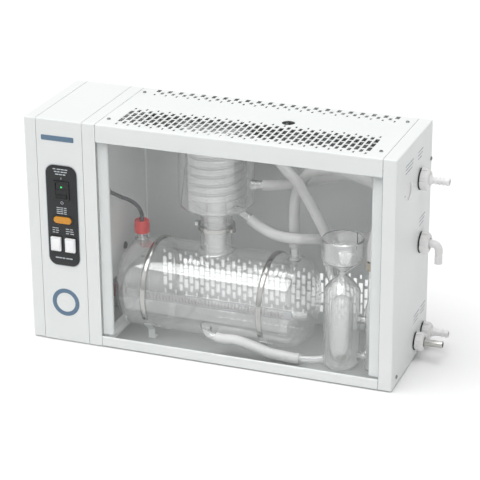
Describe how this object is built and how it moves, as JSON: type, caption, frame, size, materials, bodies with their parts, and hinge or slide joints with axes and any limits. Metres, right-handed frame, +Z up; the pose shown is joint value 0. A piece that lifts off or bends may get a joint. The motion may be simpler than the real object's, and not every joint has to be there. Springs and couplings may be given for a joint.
{
  "type": "laboratory water still",
  "caption": "Glass water still in a ventilated sheet-steel housing: lying boiler, upright coil condenser, level vessel, hoses, control panel and hose fittings.",
  "frame": {"origin": "centre of the overall footprint, on the surface that the still stands on", "axes": "+X to the right along the length, towards the hose fittings; +Y to the back; +Z up"},
  "size_m": [0.689, 0.22, 0.4],
  "materials": {
    "powder_coat": "fine white powder coat, satin",
    "inner_steel": "grey-white coated sheet, satin",
    "clear_pane": "clear sheet, polished",
    "borosilicate": "clear borosilicate glass, fire polished",
    "silicone_hose": "translucent silicone, satin",
    "stainless": "polished stainless steel",
    "white_plastic": "moulded, satin",
    "black_plastic": "fine-textured black",
    "key_white": "smooth white",
    "key_orange": "smooth orange",
    "cap_red": "moulded red, satin",
    "black_rubber": "matt",
    "cable_grey": "satin dark grey sheath",
    "tan_collar": "matt",
    "board_green": "coated circuit board",
    "quartz": "clear quartz sheath"
  },
  "bodies": {
    "housing": {"left_side_panel": "powder_coat", "right_side_panel": "powder_coat", "control_cover": "powder_coat", "post_cover": "powder_coat", "top_cover": "powder_coat", "back_panel": "powder_coat", "floor_pan": "powder_coat", "partition_wall": "inner_steel", "left_jamb": "powder_coat", "right_jamb": "powder_coat", "foot_front_left": "black_rubber", "foot_front_right": "black_rubber", "foot_back_left": "black_rubber", "foot_back_right": "black_rubber", "control_plate": "black_plastic", "rocker_bezel": "black_plastic", "control_board": "board_green", "terminal_block": "white_plastic", "temperature_limiter": "black_plastic", "mains_gland": "black_plastic", "boiler_vessel": "borosilicate", "quartz_heater": "quartz", "heater_boot": "cap_red", "boiler_strap_left": "stainless", "boiler_strap_right": "stainless", "bracket_front_left": "inner_steel", "bracket_front_right": "inner_steel", "bracket_back_left": "inner_steel", "bracket_back_right": "inner_steel", "sensor_probe": "stainless", "sensor_cable": "cable_grey", "cable_gland": "black_rubber", "condenser_jacket": "borosilicate", "vapour_tube": "borosilicate", "cooling_coil": "borosilicate", "joint_clamp": "stainless", "level_vessel": "borosilicate", "standpipe_collar": "tan_collar", "hose_cooling_in": "silicone_hose", "hose_distillate": "silicone_hose", "hose_cooling_out": "silicone_hose", "hose_vent": "silicone_hose", "hose_boiler_feed": "silicone_hose", "nozzle_inlet": "white_plastic", "nozzle_overflow": "white_plastic", "nozzle_drain": "stainless", "distillate_socket": "white_plastic", "port_blank": "white_plastic"},
    "pane": {"front_pane": "clear_pane"},
    "rocker": {"rocker_switch": "black_plastic"},
    "reset_key": {"reset_button": "key_orange"},
    "left_key": {"left_button": "key_white"},
    "right_key": {"right_button": "key_white"},
    "nut_inlet": {"union_nut_inlet": "white_plastic"},
    "nut_distillate": {"union_nut_distillate": "white_plastic"},
    "nut_overflow": {"union_nut_overflow": "white_plastic"},
    "nut_drain": {"union_nut_drain": "white_plastic"},
    "outlet_elbow": {"nozzle_distillate": "white_plastic"},
    "float": {"level_float": "borosilicate"},
    "probe_cap": {"sensor_cap": "cap_red"}
  },
  "joints": [
    {"name": "pane_lift", "type": "slide", "parent": "housing", "child": "pane", "axis": [0, 0, 1], "range_m": [0, 0.016]},
    {"name": "rocker_tilt", "type": "hinge", "parent": "housing", "child": "rocker", "pos_m": [-0.27975, -0.104, 0.2775], "axis": [1, 0, 0], "range_deg": [0, 14]},
    {"name": "reset_press", "type": "slide", "parent": "housing", "child": "reset_key", "axis": [0, 1, 0], "range_m": [0, 0.002], "stiffness_N_per_m": 600, "springref_m": -0.001},
    {"name": "left_key_press", "type": "slide", "parent": "housing", "child": "left_key", "axis": [0, 1, 0], "range_m": [0, 0.003], "stiffness_N_per_m": 500, "springref_m": -0.001},
    {"name": "right_key_press", "type": "slide", "parent": "housing", "child": "right_key", "axis": [0, 1, 0], "range_m": [0, 0.003], "stiffness_N_per_m": 500, "springref_m": -0.001},
    {"name": "nut_inlet_turn", "type": "hinge", "parent": "housing", "child": "nut_inlet", "pos_m": [0.3049, 0.035, 0.3215], "axis": [1, 0, 0], "continuous": true},
    {"name": "nut_distillate_turn", "type": "hinge", "parent": "housing", "child": "nut_distillate", "pos_m": [0.3049, 0.047, 0.206], "axis": [1, 0, 0], "continuous": true},
    {"name": "nut_overflow_turn", "type": "hinge", "parent": "housing", "child": "nut_overflow", "pos_m": [0.3049, 0.077, 0.033], "axis": [1, 0, 0], "continuous": true},
    {"name": "nut_drain_turn", "type": "hinge", "parent": "housing", "child": "nut_drain", "pos_m": [0.3049, 0.033, 0.033], "axis": [1, 0, 0], "continuous": true},
    {"name": "elbow_swivel", "type": "hinge", "parent": "housing", "child": "outlet_elbow", "pos_m": [0.3049, 0.047, 0.206], "axis": [1, 0, 0], "range_deg": [-90, 90]},
    {"name": "float_rise", "type": "slide", "parent": "housing", "child": "float", "axis": [0, 0, 1], "range_m": [0, 0.02]},
    {"name": "cap_turn", "type": "hinge", "parent": "housing", "child": "probe_cap", "pos_m": [-0.1802, -0.003, 0.19], "axis": [0, 0, 1], "continuous": true}
  ]
}
